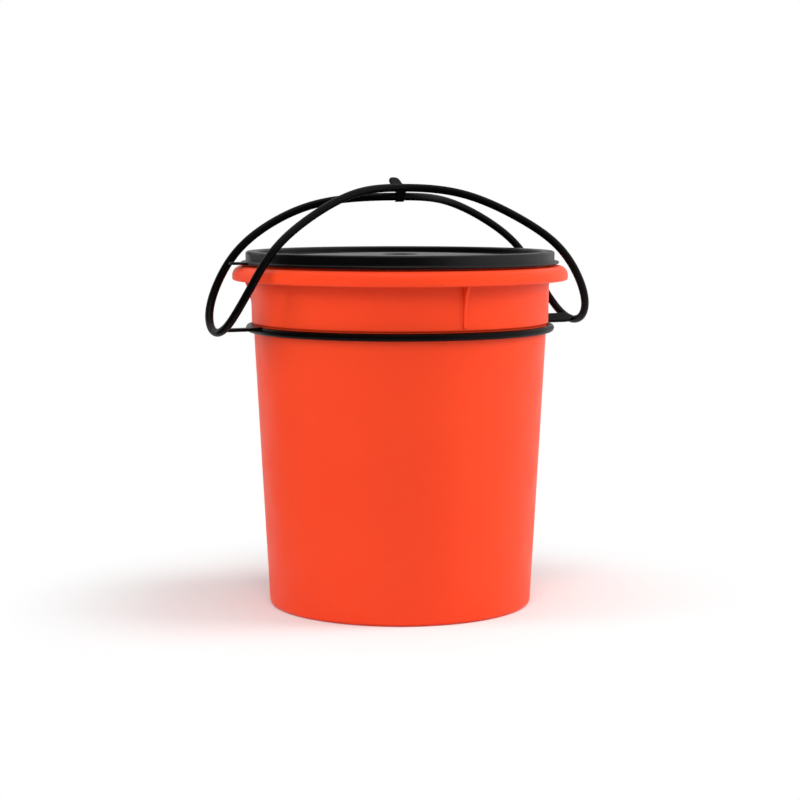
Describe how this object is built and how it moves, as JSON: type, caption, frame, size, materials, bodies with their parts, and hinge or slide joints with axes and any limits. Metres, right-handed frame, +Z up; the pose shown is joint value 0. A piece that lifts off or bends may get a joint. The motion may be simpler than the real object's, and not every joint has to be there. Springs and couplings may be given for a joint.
{
  "type": "candy pail",
  "caption": "Round tapered plastic pail with a push-on tray lid and a ring-mounted carrying handle whose two bails clip together over the lid.",
  "frame": {"origin": "middle of the base, on the surface that the pail stands on", "axes": "+Z up along the pail's axis; the two bail hinges lie along X; -Y is the front"},
  "size_m": [0.2834, 0.235, 0.3006],
  "materials": {
    "pail": "glossy injection-moulded polypropylene, bright orange",
    "lid": "glossy injection-moulded polyethylene, black",
    "handle": "semi-gloss flexible moulded polypropylene, black"
  },
  "bodies": {
    "root": {"pail": "pail", "carrier_ring": "handle", "left_strap": "handle", "right_strap": "handle", "left_bend": "handle", "right_bend": "handle"},
    "lid": {"lid": "lid"},
    "front_bail": {"front_bail": "handle", "clasp_clip": "handle"},
    "back_bail": {"back_bail": "handle"}
  },
  "joints": [
    {"name": "front_bail_swing", "type": "hinge", "parent": "root", "child": "front_bail", "pos_m": [0.00144, -0.02568, 0.21092], "axis": [1, 0, 0.0047], "range_deg": [0, 32]},
    {"name": "back_bail_swing", "type": "hinge", "parent": "root", "child": "back_bail", "pos_m": [0.00144, 0.02568, 0.21092], "axis": [-1, 0, -0.0047], "range_deg": [0, 26]},
    {"name": "lid_turn", "type": "hinge", "parent": "root", "child": "lid", "pos_m": [0, 0, 0.2399], "axis": [0, 0, 1], "range_deg": [0, 18]}
  ]
}
